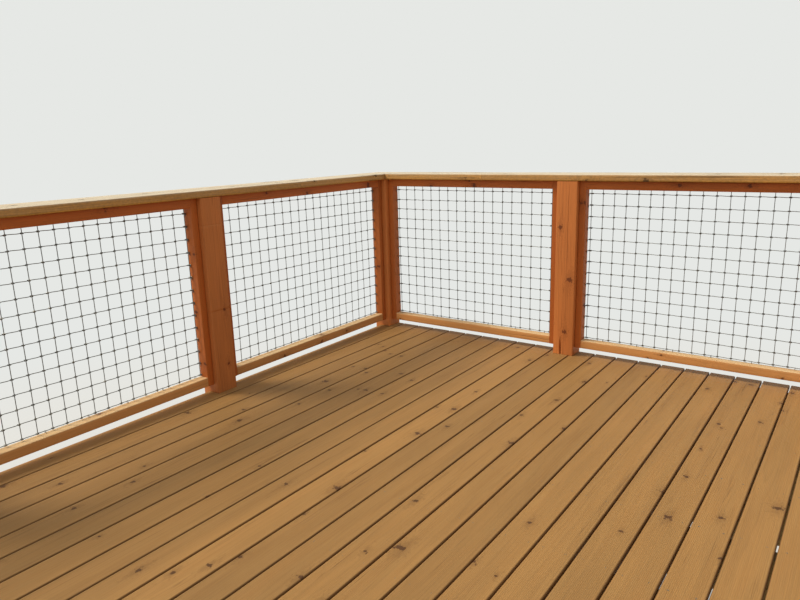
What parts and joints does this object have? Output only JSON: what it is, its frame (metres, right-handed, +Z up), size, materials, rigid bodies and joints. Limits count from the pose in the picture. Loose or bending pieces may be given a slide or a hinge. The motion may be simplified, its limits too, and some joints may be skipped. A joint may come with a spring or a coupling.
{
  "type": "tree house terrace",
  "caption": "Raised timber terrace of a tree house: board deck on stilts with a netting-panel guard rail on three sides and the cabin side open.",
  "frame": {"origin": "on the ground, under the middle of the outer box", "axes": "+X along the front rail, +Y outwards over the front rail, +Z up"},
  "size_m": [5.051, 5.534, 3.62],
  "materials": {
    "netting": "galvanised wire",
    "deck_boards": "pressure-treated pine, smooth with rounded edges, lightly worn",
    "cap": "pressure-treated pine, sawn and weathered",
    "guard_posts": "planed softwood, oiled, eased edges",
    "panel_frames": "planed larch, red-brown",
    "substructure": "pressure-treated softwood, sawn"
  },
  "bodies": {
    "root": {"left_corner_post": "guard_posts", "right_corner_post": "guard_posts", "left_front_post": "guard_posts", "right_front_post": "guard_posts", "left_post_near": "guard_posts", "left_post_mid": "guard_posts", "left_post_rear": "guard_posts", "right_post_near": "guard_posts", "right_post_mid": "guard_posts", "right_post_rear": "guard_posts", "front_netting_left": "netting", "front_netting_mid": "netting", "front_netting_right": "netting", "left_netting_near": "netting", "left_netting_mid": "netting", "left_netting_rear": "netting", "right_netting_near": "netting", "right_netting_mid": "netting", "right_netting_rear": "netting", "front_stiles": "panel_frames", "left_stiles": "panel_frames", "right_stiles": "panel_frames", "front_top_rails": "panel_frames", "left_top_rails": "panel_frames", "right_top_rails": "panel_frames", "front_bottom_rails": "panel_frames", "left_bottom_rails": "panel_frames", "right_bottom_rails": "panel_frames", "front_cap": "cap", "left_cap": "cap", "right_cap": "cap", "left_deck_boards": "deck_boards", "middle_deck_boards": "deck_boards", "right_deck_boards": "deck_boards", "front_rim": "substructure", "rear_rim": "substructure", "side_rims": "substructure", "joists": "substructure", "bearers": "substructure", "front_stilts": "substructure", "middle_stilts": "substructure", "rear_stilts": "substructure", "bearer_braces": "substructure", "joist_braces": "substructure"}
  },
  "joints": []
}
